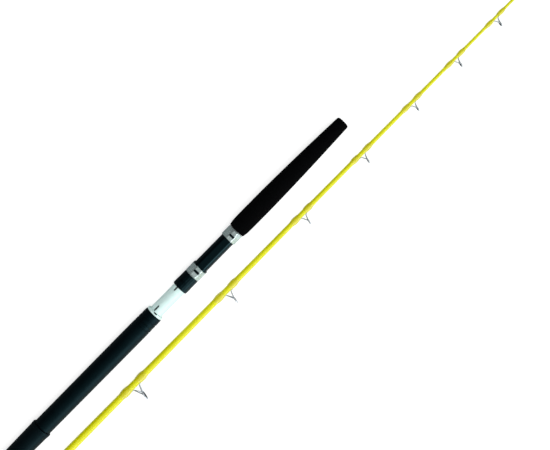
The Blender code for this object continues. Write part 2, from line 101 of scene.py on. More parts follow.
def skin(bm, rings, closed=False):
    """Faces over rings of points; a ring of one point closes the skin there."""
    rows = [[bm.verts.new(Vector(point) * MM) for point in ring] for ring in rings]
    pairs = list(zip(rows, rows[1:]))
    if closed:
        pairs.append((rows[-1], rows[0]))
    for near, far in pairs:
        count = max(len(near), len(far))
        if count == 1:
            continue
        for i in range(count):
            j = (i + 1) % count
            corners = [near[i % len(near)], near[j % len(near)], far[j % len(far)], far[i % len(far)]]
            bm.faces.new(list(dict.fromkeys(corners)))


def made_piece(name, bm, place, finish, sharp=38.0):
    """A mesh as a named, smoothly shaded object at its place."""
    bmesh.ops.recalc_face_normals(bm, faces=bm.faces)
    mesh = bpy.data.meshes.new(name)
    bm.to_mesh(mesh)
    bm.free()
    mesh.shade_smooth()
    mesh.set_sharp_from_angle(angle=radians(sharp))
    mesh.materials.append(finish)
    piece = bpy.data.objects.new(name, mesh)
    piece.location = place
    bpy.context.scene.collection.objects.link(piece)
    normals = piece.modifiers.new("even_flats", "WEIGHTED_NORMAL")
    normals.keep_sharp = True
    return piece


def circle(x, radius, count=96):
    """A ring of points round the rod's axis, or one point on it."""
    if radius == 0.0:
        return [(x, 0.0, 0.0)]
    return [(x, radius * sin(a), radius * cos(a)) for a in (2 * pi * k / count for k in range(count))]


def rounded(corners, steps=5):
    """An outline of (station, radius, reach) corners, each turned over a curve that starts at reach."""
    outline = []
    for i, (x, radius, reach) in enumerate(corners):
        corner = Vector((x, radius))
        if reach == 0.0:
            outline.append(corner)
            continue
        before = corner + (Vector(corners[i - 1][:2]) - corner).normalized() * reach
        after = corner + (Vector(corners[(i + 1) % len(corners)][:2]) - corner).normalized() * reach
        for t in (k / steps for k in range(steps + 1)):
            outline.append(before * (1 - t) ** 2 + corner * 2 * t * (1 - t) + after * t ** 2)
    return outline


def turned(name, corners, place, finish, count=96):
    """A round piece turned about the rod's axis from its outline."""
    bm = bmesh.new()
    skin(bm, [circle(x, radius, count) for x, radius in rounded(corners)], closed=corners[0][1] > 0.0)
    return made_piece(name, bm, place, finish)


def length_of(node):
    """A node's length along the rod."""
    low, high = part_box(node)
    return (high.x - low.x) / MM


cap_low, cap_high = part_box("butt_cap")
handle_y, handle_z = (cap_low.y + cap_high.y) / 2, (cap_low.z + cap_high.z) / 2


def on_handle(node):
    """The point on the handle's axis at a node's rear end."""
    return Vector((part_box(node)[0].x, handle_y, handle_z))


# Moulded rubber: near black with a soft sheen, a fine grit from the mould and paler, rubbed patches.
rubber, tree, mm = new_material("moulded_epdm_rubber")
grit = add(tree, "ShaderNodeTexNoise", {"Scale": 1 / 0.45, "Detail": 3.0}, {"Vector": mm})
rubbed = add(tree, "ShaderNodeTexNoise", {"Scale": 1 / 14.0, "Detail": 4.0, "Roughness": 0.6}, {"Vector": mm})
shade = add(tree, "ShaderNodeMix", {"data_type": "RGBA", 6: linear("#010203"), 7: linear("#06090C")},
            {0: rubbed.outputs["Fac"]})
gloss = add(tree, "ShaderNodeMapRange", {"To Min": 0.42, "To Max": 0.62}, {"Value": rubbed.outputs["Fac"]})
bump = add(tree, "ShaderNodeBump", {"Strength": 0.5, "Distance": 0.04 * MM}, {"Height": grit.outputs["Fac"]})
add(tree, "Principled BSDF", {"IOR": 1.52, "Specular IOR Level": 0.21, "Specular Tint": linear("#8EEBFF")},
    {"Base Color": shade.outputs[2], "Roughness": gloss.outputs["Result"], "Normal": bump.outputs["Normal"]})

cap_length, cap_rear_r, cap_front_r, rim_r = length_of("butt_cap"), 14.3, 15.5, 15.9
cap_bore, cap_floor = 12.3, 5.7
cap = turned("butt_cap_rubber", [
    (0.0, 0.0, 0.0), (0.0, cap_rear_r, 3.2), (cap_length - 6.0, cap_front_r, 1.5),
    (cap_length - 4.5, rim_r, 0.8), (cap_length, rim_r, 1.2), (cap_length, cap_bore, 0.4),
    (cap_floor, cap_bore, 0.6), (cap_floor, 0.0, 0.0)], on_handle("butt_cap"), rubber, count=128)
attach(cap, "cap")
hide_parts("butt_cap")


# ------------------------------------------------------------------ butt end and core
# The butt end is satin turned aluminium with crossed slots for a rod belt's pin, glued on the core.
# The core is a wound tube of black glass fibre that runs through the whole handle.

def block(low, high, place):
    """A plain cutter between two corners."""
    bm = bmesh.new()
    (x0, y0, z0), (x1, y1, z1) = low, high
    ends = [[(x, y0, z0), (x, y1, z0), (x, y1, z1), (x, y0, z1)] for x in (x0, x1)]
    middle = [(x, (y0 + y1) / 2, (z0 + z1) / 2) for x in (x0, x1)]
    skin(bm, [[middle[0]], *ends, [middle[1]]])
    return made_piece("cutter", bm, place, None)


def carve(piece, cutter):
    """Cut one solid with another and keep the result as the piece's own mesh."""
    piece.modifiers.clear()
    modifier = piece.modifiers.new("carve", "BOOLEAN")
    modifier.operation, modifier.solver, modifier.object = "DIFFERENCE", "EXACT", cutter
    bpy.context.view_layer.update()
    carved = bpy.data.meshes.new_from_object(piece.evaluated_get(bpy.context.evaluated_depsgraph_get()))
    piece.modifiers.clear()
    finish = piece.data.materials[0]
    piece.data = carved
    carved.materials.clear()
    carved.materials.append(finish)
    carved.set_sharp_from_angle(angle=radians(32.0))
    bpy.data.objects.remove(cutter)
    normals = piece.modifiers.new("even_flats", "WEIGHTED_NORMAL")
    normals.keep_sharp = True


# Turned aluminium: satin grey, with the fine rings that the tool leaves round it.
satin, tree, mm = new_material("turned_satin_aluminium")
spread = add(tree, "ShaderNodeVectorMath", {"operation": "MULTIPLY", 1: (6.0, 0.08, 0.08)}, {0: mm})
rings = add(tree, "ShaderNodeTexNoise", {"Scale": 1.0, "Detail": 2.0}, {"Vector": spread.outputs["Vector"]})
gloss = add(tree, "ShaderNodeMapRange", {"To Min": 0.26, "To Max": 0.42}, {"Value": rings.outputs["Fac"]})
bump = add(tree, "ShaderNodeBump", {"Strength": 0.3, "Distance": 0.01 * MM}, {"Height": rings.outputs["Fac"]})
add(tree, "Principled BSDF", {"Base Color": linear("#CDD1D3"), "Metallic": 1.0},
    {"Roughness": gloss.outputs["Result"], "Normal": bump.outputs["Normal"]})

gimbal_length, gimbal_r, gimbal_solid = length_of("gimbal"), 12.0, 23.7
core_bore = 8.3         # bore of every piece that is glued on the core
gimbal_place = on_handle("gimbal")
gimbal = turned("gimbal_turned", [
    (0.0, 0.0, 0.0), (0.0, gimbal_r, 1.0), (gimbal_length, gimbal_r, 0.6), (gimbal_length, core_bore, 0.3),
    (gimbal_solid, core_bore, 0.0), (gimbal_solid, 0.0, 0.0)], gimbal_place, satin)
slot_depth, half_slot, clear = 10.0, 3.2, 20.0
carve(gimbal, block((-2.0, -half_slot, -clear), (slot_depth, half_slot, clear), gimbal_place))
carve(gimbal, block((-2.0, -clear, -half_slot), (slot_depth - 0.1, clear, half_slot), gimbal_place))
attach(gimbal, "handle")
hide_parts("gimbal")

# Black glass fibre: dark resin over wound glass, with faint crossing bands.
black_glass, tree, mm = new_material("black_glass_fibre")
wound = add(tree, "ShaderNodeTexWave", {"Scale": 0.35, "Distortion": 1.5, "Detail": 2.0}, {"Vector": mm})
shade = add(tree, "ShaderNodeMix", {"data_type": "RGBA", 6: linear("#14171A"), 7: linear("#24282B")},
            {0: wound.outputs["Fac"]})
add(tree, "Principled BSDF", {"Roughness": 0.35, "IOR": 1.54}, {"Base Color": shade.outputs[2]})
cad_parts["handle_core"].data.materials.clear()
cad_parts["handle_core"].data.materials.append(black_glass)


# ------------------------------------------------------------------ rear grip and its collar
# A long sleeve of black moulded rubber, glued over the core, with shallow grooves near its front end.
# A pale anodised ring closes it off against the reel seat, with a notch in its front at the top.

grip_length, grip_r = length_of("rear_grip"), 14.1
first_groove, groove_pitch, groove_width, groove_depth = 204.2, 6.8, 1.8, 0.6
fullest, counterbore_start, over_barrel = 174.5, 210.0, 10.65
grip_corners = [(0.0, core_bore, 0.3), (0.0, grip_r - 0.15, 0.9), (fullest, grip_r + 0.25, 20.0)]
for i in range(3):
    start, radius = first_groove + i * groove_pitch, grip_r + 0.15 - 0.1 * i
    grip_corners += [(start, radius, 0.3), (start + 0.4, radius - groove_depth, 0.25),
                     (start + groove_width - 0.4, radius - groove_depth, 0.25),
                     (start + groove_width, radius, 0.3)]
grip_corners += [(grip_length, grip_r - 0.15, 1.0), (grip_length, over_barrel, 0.3),
                 (counterbore_start, over_barrel, 0.0), (counterbore_start, core_bore, 0.0)]

# Grip rubber: a little smoother than the cap's, so that it takes a broad blue-grey sheen.
grip_rubber, tree, mm = new_material("moulded_grip_rubber")
grit = add(tree, "ShaderNodeTexNoise", {"Scale": 1 / 0.35, "Detail": 3.0}, {"Vector": mm})
handled = add(tree, "ShaderNodeTexNoise", {"Scale": 1 / 22.0, "Detail": 5.0, "Roughness": 0.6},
              {"Vector": mm})
shade = add(tree, "ShaderNodeMix", {"data_type": "RGBA", 6: linear("#000203"), 7: linear("#04080B")},
            {0: handled.outputs["Fac"]})
gloss = add(tree, "ShaderNodeMapRange", {"To Min": 0.4, "To Max": 0.54}, {"Value": handled.outputs["Fac"]})
bump = add(tree, "ShaderNodeBump", {"Strength": 0.4, "Distance": 0.03 * MM}, {"Height": grit.outputs["Fac"]})
add(tree, "Principled BSDF", {"IOR": 1.52, "Specular IOR Level": 0.21, "Specular Tint": linear("#8EEBFF")},
    {"Base Color": shade.outputs[2], "Roughness": gloss.outputs["Result"], "Normal": bump.outputs["Normal"]})

grip = turned("rear_grip_rubber", grip_corners, on_handle("rear_grip"), grip_rubber, count=128)
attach(grip, "handle")
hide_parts("rear_grip")

# Polished aluminium: bright and clean, with the faintest turning rings and a few hair scratches.
polished, tree, mm = new_material("polished_aluminium")
spread = add(tree, "ShaderNodeVectorMath", {"operation": "MULTIPLY", 1: (9.0, 0.05, 0.05)}, {0: mm})
rings = add(tree, "ShaderNodeTexNoise", {"Scale": 1.0, "Detail": 2.0}, {"Vector": spread.outputs["Vector"]})
scratched = add(tree, "ShaderNodeTexNoise", {"Scale": 1 / 3.0, "Detail": 6.0, "Roughness": 0.7},
                {"Vector": mm})
both = add(tree, "ShaderNodeMath", {"operation": "MULTIPLY"},
           {0: rings.outputs["Fac"], 1: scratched.outputs["Fac"]})
gloss = add(tree, "ShaderNodeMapRange", {"From Max": 0.5, "To Min": 0.2, "To Max": 0.34},
            {"Value": both.outputs["Value"]})
bump = add(tree, "ShaderNodeBump", {"Strength": 0.2, "Distance": 0.006 * MM},
           {"Height": rings.outputs["Fac"]})
add(tree, "Principled BSDF", {"Base Color": linear("#E2F2F0"), "Metallic": 0.88},
    {"Roughness": gloss.outputs["Result"], "Normal": bump.outputs["Normal"]})

# Clear-anodised aluminium, blasted before anodising: a pale, milky surface with a cool mint cast.
anodised, tree, mm = new_material("clear_anodised_aluminium")
drawn = add(tree, "ShaderNodeVectorMath", {"operation": "MULTIPLY", 1: (0.05, 3.0, 3.0)}, {0: mm})
streaks = add(tree, "ShaderNodeTexNoise", {"Scale": 1.0, "Detail": 3.0}, {"Vector": drawn.outputs["Vector"]})
shade = add(tree, "ShaderNodeMix", {"data_type": "RGBA", 6: linear("#CBE8E4"), 7: linear("#D9EFEC")},
            {0: streaks.outputs["Fac"]})
gloss = add(tree, "ShaderNodeMapRange", {"To Min": 0.34, "To Max": 0.46}, {"Value": streaks.outputs["Fac"]})
add(tree, "Principled BSDF", {"Metallic": 0.08},
    {"Base Color": shade.outputs[2], "Roughness": gloss.outputs["Result"]})

collar_length, collar_r, notch_depth, notch_half_width = length_of("grip_collar"), 13.1, 1.9, 2.8
collar = turned("grip_collar_turned", [
    (0.0, over_barrel, 0.2), (0.0, collar_r, 0.5), (collar_length, collar_r, 0.5),
    (collar_length, over_barrel, 0.2)], on_handle("grip_collar"), anodised)
carve(collar, block((collar_length - notch_depth, -notch_half_width, 5.0),
                    (collar_length + 2.0, notch_half_width, clear), on_handle("grip_collar")))
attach(collar, "handle")
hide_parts("grip_collar")


# ------------------------------------------------------------------ reel-seat barrel
# A drawn tube of clear-anodised aluminium, glued over the core. A fine shallow thread is rolled into
# it for the nuts, and a keyway and a short slot are milled a little round from the top. A third slot,
# under the collar's notch, lies across the top.

barrel_length, barrel_r = length_of("seat_barrel"), 10.35
barrel_place = on_handle("seat_barrel")
thread_pitch, thread_depth = 1.5, 0.2
thread_start, thread_end, barrel_step, seat_r = 36.0, 110.0, 111.6, 9.9
slot_angle, slot_half_width = 0.418, 1.4        # radians round from the top, and half of 2.8 mm
keyway, short_slot, cross_slot = (63.3, 110.9), (22.8, 33.2), (20.3, 22.2)
slot_floor, slot_clear, foot_flat = 7.0, 12.0, 8.95


def threaded(x, count=72):
    """One ring of the barrel, dipping into the thread's groove where the helix passes it."""
    depth = thread_depth * max(0.0, min(1.0, (x - thread_start) / 3.0, (thread_end - x) / 3.0))
    ring = []
    for k in range(count):
        a = 2 * pi * k / count
        radius = barrel_r - depth * (0.5 - 0.5 * cos(2 * pi * (x / thread_pitch - k / count)))
        ring.append((x, radius * sin(a), radius * cos(a)))
    return ring


def milled_slot(start, end, place):
    """A round-ended cutter lying along the barrel, rolled from the top towards +Y."""
    outline = []
    for centre, first in ((start + slot_half_width, pi / 2), (end - slot_half_width, -pi / 2)):
        for k in range(9):
            a = first + pi * k / 8
            outline.append((centre + slot_half_width * cos(a), slot_half_width * sin(a)))
    bm = bmesh.new()
    middle = ((start + end) / 2, 0.0)
    skin(bm, [[(*middle, slot_floor)], [(x, y, slot_floor) for x, y in outline],
              [(x, y, slot_clear) for x, y in outline], [(*middle, slot_clear)]])
    bmesh.ops.rotate(bm, cent=(0, 0, 0), matrix=Matrix.Rotation(-slot_angle, 3, "X"), verts=bm.verts)
    return made_piece("cutter", bm, place, None)


thread_rows = int((thread_end - thread_start) / thread_pitch * 6)
stations = [thread_start + (thread_end - thread_start) * k / thread_rows for k in range(thread_rows + 1)]
bm = bmesh.new()
skin(bm, [circle(0.0, core_bore, 72), circle(0.0, barrel_r - 0.3, 72), circle(0.3, barrel_r, 72),
          *[threaded(x) for x in stations], circle(barrel_step, barrel_r, 72),
          circle(barrel_step, seat_r, 72), circle(barrel_length, seat_r, 72),
          circle(barrel_length, core_bore, 72)], closed=True)
barrel = made_piece("seat_barrel_threaded", bm, barrel_place, anodised)
carve(barrel, milled_slot(*keyway, barrel_place))
carve(barrel, milled_slot(*short_slot, barrel_place))
carve(barrel, block((cross_slot[0], -notch_half_width, slot_floor),
                    (cross_slot[1], notch_half_width, slot_clear), barrel_place))
carve(barrel, block((barrel_step - 0.5, -8.0, foot_flat), (barrel_length + 5.0, 8.0, 14.0), barrel_place))
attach(barrel, "handle")
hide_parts("seat_barrel")


# ------------------------------------------------------------------ ring nuts
# Two ring nuts moulded in glass-filled nylon, with shallow finger flutes round them. The front one
# pushes the moving hood, and the slightly larger rear one is screwed up against it as a lock.

nut_bore, flute_count = 10.65, 20


def fluted(x, radius, depth, count=240):
    """A ring whose rim dips into shallow round-bottomed flutes."""
    ring = []
    for k in range(count):
        a = 2 * pi * k / count
        r = radius - depth * (0.5 + 0.5 * cos(flute_count * a)) ** 2
        ring.append((x, r * sin(a), r * cos(a)))
    return ring


def ease(t):
    """From 0 to 1 with a soft start and a soft end."""
    t = max(0.0, min(1.0, t))
    return t * t * (3.0 - 2.0 * t)


# Glass-filled nylon: satin black with a fine mould texture, handled smoother in patches.
nylon, tree, mm = new_material("glass_filled_nylon")
grain = add(tree, "ShaderNodeTexNoise", {"Scale": 1 / 0.3, "Detail": 2.0}, {"Vector": mm})
patches = add(tree, "ShaderNodeTexNoise", {"Scale": 1 / 9.0, "Detail": 3.0}, {"Vector": mm})
shade = add(tree, "ShaderNodeMix", {"data_type": "RGBA", 6: linear("#000102"), 7: linear("#030507")},
            {0: patches.outputs["Fac"]})
gloss = add(tree, "ShaderNodeMapRange", {"To Min": 0.15, "To Max": 0.25}, {"Value": patches.outputs["Fac"]})
bump = add(tree, "ShaderNodeBump", {"Strength": 0.3, "Distance": 0.02 * MM}, {"Height": grain.outputs["Fac"]})
add(tree, "Principled BSDF", {"IOR": 1.53, "Specular IOR Level": 0.33, "Specular Tint": linear("#96E8FA")},
    {"Base Color": shade.outputs[2], "Roughness": gloss.outputs["Result"], "Normal": bump.outputs["Normal"]})

shoulder = 0.25     # the lock nut's front shoulder all but closes the gap to the hood nut
plain_rim, flute_fade = 0.3, 1.2
for node, body, radius, rear_round, front_round, reach in (
        ("lock_nut", "lock_ring", 12.4, 1.8, 0.35, shoulder),
        ("hood_nut", "hood_ring", 12.2, 0.35, 0.7, 0.0)):
    length, flute_depth = length_of(node) + reach, 0.5
    arcs = rounded([(0.0, nut_bore, 0.3), (0.0, radius, rear_round), (length, radius, front_round),
                    (length, nut_bore, 0.3)])
    half = len(arcs) // 2
    land, flute_rows = rear_round + plain_rim, 14
    span = length - land - front_round - plain_rim
    rows = [circle(x, r, 240) for x, r in arcs[:half]]
    for k in range(flute_rows + 1):
        t = k / flute_rows
        fade = ease(min(t, 1.0 - t) * span / flute_fade)
        rows.append(fluted(land + span * t, radius, flute_depth * fade))
    rows += [circle(x, r, 240) for x, r in arcs[half:]]
    bm = bmesh.new()
    skin(bm, rows, closed=True)
    nut = made_piece(f"{node}_fluted", bm, on_handle(node), nylon)
    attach(nut, body)
    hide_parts(node)


# ------------------------------------------------------------------ moving hood
# Pressed and polished aluminium, with a flat-topped pocket raised for the reel's foot and a slit
# across it; a thin black strip under the slit is painted shade that makes it show dark. A key inside
# rides in the barrel's keyway, and a black nylon lip is pressed on its front.

hood_r, hood_bore, pocket_half, pocket_roof, hood_wall = 12.4, 11.2, 5.2, 14.55, 1.1


def pocket_reach(angle, radius, half_top, top):
    """How far out a hood stands at an angle from its top: a circle with a flat-topped rise on it."""
    shoulder = radians(50.0)
    angle = abs(angle)
    if angle >= shoulder:
        return radius
    if angle <= atan2(half_top, top):
        return max(radius, top / cos(angle))
    side = Vector((radius * sin(shoulder) - half_top, radius * cos(shoulder) - top))
    ray = Vector((sin(angle), cos(angle)))
    return max(radius, (side.x * top - side.y * half_top) / (side.x * ray.y - side.y * ray.x))


def hood_ring(x, radius, half_top, top, soften=1.8, count=180):
    """One section of a hood, its corners softened over a few degrees."""
    ring = []
    for k in range(count):
        a = 2 * pi * k / count
        near = a if a <= pi else a - 2 * pi
        reach = sum(pocket_reach(near + radians(soften * j), radius, half_top, top) for j in range(-2, 3)) / 5
        ring.append((x, reach * sin(a), reach * cos(a)))
    return ring


def between(sections, steps=6):
    """Stations, radii, pocket widths and heights eased from each stated section to the next."""
    filled = []
    for near, far in zip(sections, sections[1:]):
        for k in range(steps):
            t = k / steps
            soft = ease(t)
            filled.append((near[0] + (far[0] - near[0]) * t,
                           *[a + (b - a) * soft for a, b in zip(near[1:], far[1:])]))
    return filled + [sections[-1]]


def hood_solid(name, sections, place, finish):
    """A closed solid through eased hood sections, capped at both ends."""
    rings = [hood_ring(*section) for section in between(sections)]
    bm = bmesh.new()
    skin(bm, [[(sections[0][0], 0.0, 0.0)], *rings, [(sections[-1][0], 0.0, 0.0)]])
    return made_piece(name, bm, place, finish)


hood_length = length_of("moving_hood")
hood_place = on_handle("moving_hood")
hood = hood_solid("moving_hood_polished", [
    (0.0, hood_r - 0.8, pocket_half - 0.9, hood_r + 0.3),
    (0.5, hood_r - 0.3, pocket_half - 0.8, hood_r + 0.9),
    (1.8, hood_r, pocket_half - 0.4, pocket_roof + 0.2), (6.0, hood_r, pocket_half, pocket_roof + hood_wall),
    (hood_length, hood_r, pocket_half, pocket_roof + hood_wall)], hood_place, polished)
end_wall = 2.4
carve(hood, hood_solid("cutter", [
    (end_wall, hood_bore, pocket_half - 0.9, hood_r - 0.2), (6.4, hood_bore, pocket_half - 0.5, pocket_roof),
    (hood_length + 5.0, hood_bore, pocket_half - 0.5, pocket_roof)], hood_place, None))
carve(hood, turned("cutter", [(-5.0, 0.0, 0.0), (-5.0, nut_bore, 0.0), (end_wall + 2.0, nut_bore, 0.0),
                              (end_wall + 2.0, 0.0, 0.0)], hood_place, None))
slit, slit_half, slit_reach, slit_floor = hood_length - 6.1, 1.9, 4.9, 12.6
carve(hood, block((slit - slit_half, -slit_reach, slit_floor), (slit + slit_half, slit_reach, clear),
                  hood_place))
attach(hood, "hood")
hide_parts("moving_hood")

key_low, key_high, key_start, key_end, key_half = 9.3, 14.6, 11.2, 13.8, 0.65
bm = bmesh.new()
skin(bm, [[(key_start, 0.0, 12.0)],
          *[[(x, -key_half, key_low), (x, key_half, key_low), (x, key_half, key_high),
             (x, -key_half, key_high)] for x in (key_start, key_end)],
          [(key_end, 0.0, 12.0)]])
bmesh.ops.rotate(bm, cent=(0, 0, 0), matrix=Matrix.Rotation(-slot_angle, 3, "X"), verts=bm.verts)
key = made_piece("moving_hood_key", bm, hood_place, polished)
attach(key, "hood")


def shade_strip(name, start, end, roof, half_width, place, body):
    """A thin black strip under a pocket's roof, painted shade that shows dark through the slit."""
    thick, corner, rings = 0.3, 0.12, []
    for x, shrink in ((start, corner), (start + corner, 0.0), (end - corner, 0.0), (end, corner)):
        w, top, bottom = half_width - shrink, roof - shrink, roof - thick + shrink
        rings.append([(x, -w, bottom), (x, w, bottom), (x, w, top), (x, -w, top)])
    middle = roof - thick / 2
    bm = bmesh.new()
    skin(bm, [[(start, 0.0, middle)], *rings, [(end, 0.0, middle)]])
    piece = made_piece(name, bm, place, nylon)
    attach(piece, body)


# Painted shade: a black strip under the moving hood's slit makes the slit show dark.
shade_strip("moving_hood_shade_strip", 6.6, hood_length - 0.6, pocket_roof - 0.02, pocket_half - 0.75, hood_place, "hood")

lip_length = length_of("hood_lip")
lip = turned("hood_lip_moulded", [
    (0.0, hood_bore, 0.2), (0.0, hood_r - 0.1, 0.3), (lip_length, hood_r - 0.1, 0.7),
    (lip_length, hood_bore, 0.2)], on_handle("hood_lip"), nylon)
carve(lip, block((-2.0, -pocket_half, 5.0), (10.0, pocket_half, clear), on_handle("hood_lip")))
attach(lip, "hood")
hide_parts("hood_lip")


# ------------------------------------------------------------------ saddle sleeve and fixed hood
# A moulded nylon sleeve with a flat along its top, where the reel's foot sits, glued on the barrel.
# The fixed hood is polished like the moving one, glued at the front, and narrows towards the foregrip.

sleeve_r, saddle_flat, low_flat, inner_r, inner_flat = 10.9, 9.8, 9.65, 10.2, 9.25


def flat_ring(x, radius, flat, count=180):
    """A circle whose top is planed off level."""
    ring = []
    for k in range(count):
        a = 2 * pi * k / count
        reach = min(radius, flat / cos(a)) if cos(a) > 0.1 else radius
        ring.append((x, reach * sin(a), reach * cos(a)))
    return ring


sleeve_length, saddle_start, saddle_end, rise = length_of("saddle_sleeve"), 4.2, 57.8, 0.2
bm = bmesh.new()
skin(bm, [
    flat_ring(0.0, inner_r, inner_flat), flat_ring(0.0, sleeve_r - 0.3, low_flat - 0.2),
    flat_ring(0.3, sleeve_r, low_flat), flat_ring(saddle_start - rise, sleeve_r, low_flat),
    flat_ring(saddle_start, sleeve_r, saddle_flat), flat_ring(saddle_end, sleeve_r, saddle_flat),
    flat_ring(saddle_end + rise, sleeve_r, low_flat), flat_ring(sleeve_length, sleeve_r, low_flat),
    flat_ring(sleeve_length, inner_r, inner_flat)], closed=True)
sleeve = made_piece("saddle_sleeve_moulded", bm, on_handle("saddle_sleeve"), nylon, sharp=20.0)
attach(sleeve, "handle")
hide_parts("saddle_sleeve")

fixed_length = length_of("fixed_hood")
fixed_place = on_handle("fixed_hood")
fixed = hood_solid("fixed_hood_polished", [
    (0.0, hood_r, pocket_half, pocket_roof + hood_wall),
    (7.0, hood_r, pocket_half - 0.4, pocket_roof + hood_wall - 0.2),
    (fixed_length - 2.0, hood_r, pocket_half - 1.6, pocket_roof - 0.6),
    (fixed_length - 0.5, hood_r - 0.3, pocket_half - 1.8, hood_r + 0.3),
    (fixed_length, hood_r - 0.8, pocket_half - 1.8, hood_r - 0.4)], fixed_place, polished)
fixed_wall = fixed_length - 2.4
carve(fixed, hood_solid("cutter", [
    (-5.0, hood_bore, pocket_half - 0.5, pocket_roof), (7.0, hood_bore, pocket_half - 0.7, pocket_roof - 0.2),
    (fixed_wall, hood_bore, pocket_half - 2.0, hood_r - 0.6)], fixed_place, None))
carve(fixed, turned("cutter", [(fixed_wall - 2.0, 0.0, 0.0), (fixed_wall - 2.0, inner_r, 0.0),
                               (fixed_length + 5.0, inner_r, 0.0), (fixed_length + 5.0, 0.0, 0.0)],
                    fixed_place, None))
fixed_slit, fixed_slit_half, fixed_reach, fixed_floor = 7.2, 1.7, 4.4, 11.6
carve(fixed, block((fixed_slit - fixed_slit_half, -fixed_reach, fixed_floor),
                   (fixed_slit + fixed_slit_half, fixed_reach, clear), fixed_place))
# Painted shade: a black strip under the fixed hood's slit makes the slit show dark.
shade_strip("fixed_hood_shade_strip", 0.6, 10.0, pocket_roof - 0.9, pocket_half - 1.6, fixed_place, "handle")
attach(fixed, "handle")
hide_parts("fixed_hood")


# ------------------------------------------------------------------ foregrip and ferrule socket
# Dense black EVA foam ground to a long taper and glued on the core, with a rounded front end.
# The socket that takes the tip section is a turned aluminium tube with a narrow flange.

foregrip_length, foregrip_r, foregrip_front_r, end_round = length_of("foregrip"), 14.6, 10.1, 3.4
taper_start, taper_rows = 50.2, 24
taper_length = foregrip_length - end_round - taper_start
foregrip_corners = [(0.0, core_bore, 0.3), (0.0, 12.9, 1.2), (8.0, foregrip_r - 0.25, 3.0),
                    (24.0, foregrip_r, 4.0)]
for k in range(taper_rows + 1):
    t = k / taper_rows
    radius = foregrip_r - (foregrip_r - foregrip_front_r) * t ** 1.6
    foregrip_corners.append((taper_start + taper_length * t, radius, 0.0))
foregrip_corners += [(foregrip_length, foregrip_front_r - 0.2, 2.6), (foregrip_length, core_bore, 0.2)]

# EVA foam: dead matte black, with small cells torn open by the grinding, which show a little greyer.
foam, tree, mm = new_material("ground_eva_foam")
cells = add(tree, "ShaderNodeTexVoronoi", {"Scale": 1 / 0.7}, {"Vector": mm})
speckle = add(tree, "ShaderNodeTexNoise", {"Scale": 1 / 1.6, "Detail": 4.0}, {"Vector": mm})
torn = add(tree, "ShaderNodeMath", {"operation": "MULTIPLY"},
           {0: cells.outputs["Distance"], 1: speckle.outputs["Fac"]})
shade = add(tree, "ShaderNodeMix", {"data_type": "RGBA", 6: linear("#000000"), 7: linear("#0D0E10")},
            {0: torn.outputs["Value"]})
bump = add(tree, "ShaderNodeBump", {"Strength": 0.6, "Distance": 0.12 * MM},
           {"Height": cells.outputs["Distance"]})
add(tree, "Principled BSDF", {"Roughness": 0.95, "Specular IOR Level": 0.04},
    {"Base Color": shade.outputs[2], "Normal": bump.outputs["Normal"]})

foregrip = turned("foregrip_foam", foregrip_corners, on_handle("foregrip"), foam, count=128)
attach(foregrip, "handle")
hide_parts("foregrip")

socket_length, socket_bore, socket_r, flange_r, flange = length_of("ferrule_socket"), 5.7, 6.2, 8.0, 1.6
socket = turned("ferrule_socket_turned", [
    (0.0, socket_bore, 0.2), (0.0, socket_r, 0.1), (socket_length - flange, socket_r, 0.0),
    (socket_length - flange, flange_r, 0.2), (socket_length, flange_r, 0.4),
    (socket_length, socket_bore, 0.5)], on_handle("ferrule_socket"), satin)
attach(socket, "handle")
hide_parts("ferrule_socket")


# ------------------------------------------------------------------ yellow blank and its spigot
# A long tapered tube of solid yellow glass fibre, wound on a mandrel, sanded and varnished to a gloss.
# A turned aluminium spigot is glued in its thick end to enter the handle. The blank and its wraps are
# kept out of reflections, so that the bright hoods beside them stay clean and silvery.

spigot_low, spigot_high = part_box("ferrule_spigot")
tip_y, tip_z = (spigot_low.y + spigot_high.y) / 2, (spigot_low.z + spigot_high.z) / 2
blank_low, blank_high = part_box("blank")
blank_r, blank_taper = (blank_high.z - blank_low.z) / 2 / MM, 0.00398


def on_blank(node):
    """The point on the tip section's axis at a node's rear end."""
    return Vector((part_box(node)[0].x, tip_y, tip_z))


def blank_radius(x):
    """The blank's radius in millimetres at a place along X in metres."""
    return blank_r - blank_taper * (x - blank_low.x) / MM


# Yellow glass fibre: strong lemon yellow under gloss varnish, with the faint spiral of the winding tape.
yellow, tree, mm = new_material("yellow_glass_fibre")
tape_width = 3.2
axes = add(tree, "ShaderNodeSeparateXYZ", {}, {"Vector": mm})
angle = add(tree, "ShaderNodeMath", {"operation": "ARCTAN2"}, {0: axes.outputs["Y"], 1: axes.outputs["Z"]})
turn = add(tree, "ShaderNodeMath", {"operation": "MULTIPLY", 1: 1 / (2 * pi)}, {0: angle.outputs["Value"]})
along = add(tree, "ShaderNodeMath", {"operation": "MULTIPLY_ADD", 1: 1 / tape_width},
            {0: axes.outputs["X"], 2: turn.outputs["Value"]})
lap = add(tree, "ShaderNodeMath", {"operation": "FRACT"}, {0: along.outputs["Value"]})
edge = add(tree, "ShaderNodeMath", {"operation": "POWER", 1: 6.0}, {0: lap.outputs["Value"]})
cloud = add(tree, "ShaderNodeTexNoise", {"Scale": 1 / 18.0, "Detail": 4.0}, {"Vector": mm})
shade = add(tree, "ShaderNodeMix", {"data_type": "RGBA", 6: linear("#CFCF00"), 7: linear("#D9DA02")},
            {0: cloud.outputs["Fac"]})
lapped = add(tree, "ShaderNodeMath", {"operation": "MULTIPLY", 1: 0.3}, {0: edge.outputs["Value"]})
colour = add(tree, "ShaderNodeMix", {"data_type": "RGBA", 7: linear("#C6B400")},
             {0: lapped.outputs["Value"], 6: shade.outputs[2]})
bump = add(tree, "ShaderNodeBump", {"Strength": 0.25, "Distance": 0.03 * MM},
           {"Height": edge.outputs["Value"]})
add(tree, "Principled BSDF", {"Roughness": 0.28, "IOR": 1.54, "Specular IOR Level": 0.3,
                              "Coat Weight": 0.3, "Coat Roughness": 0.08},
    {"Base Color": colour.outputs[2], "Normal": bump.outputs["Normal"]})

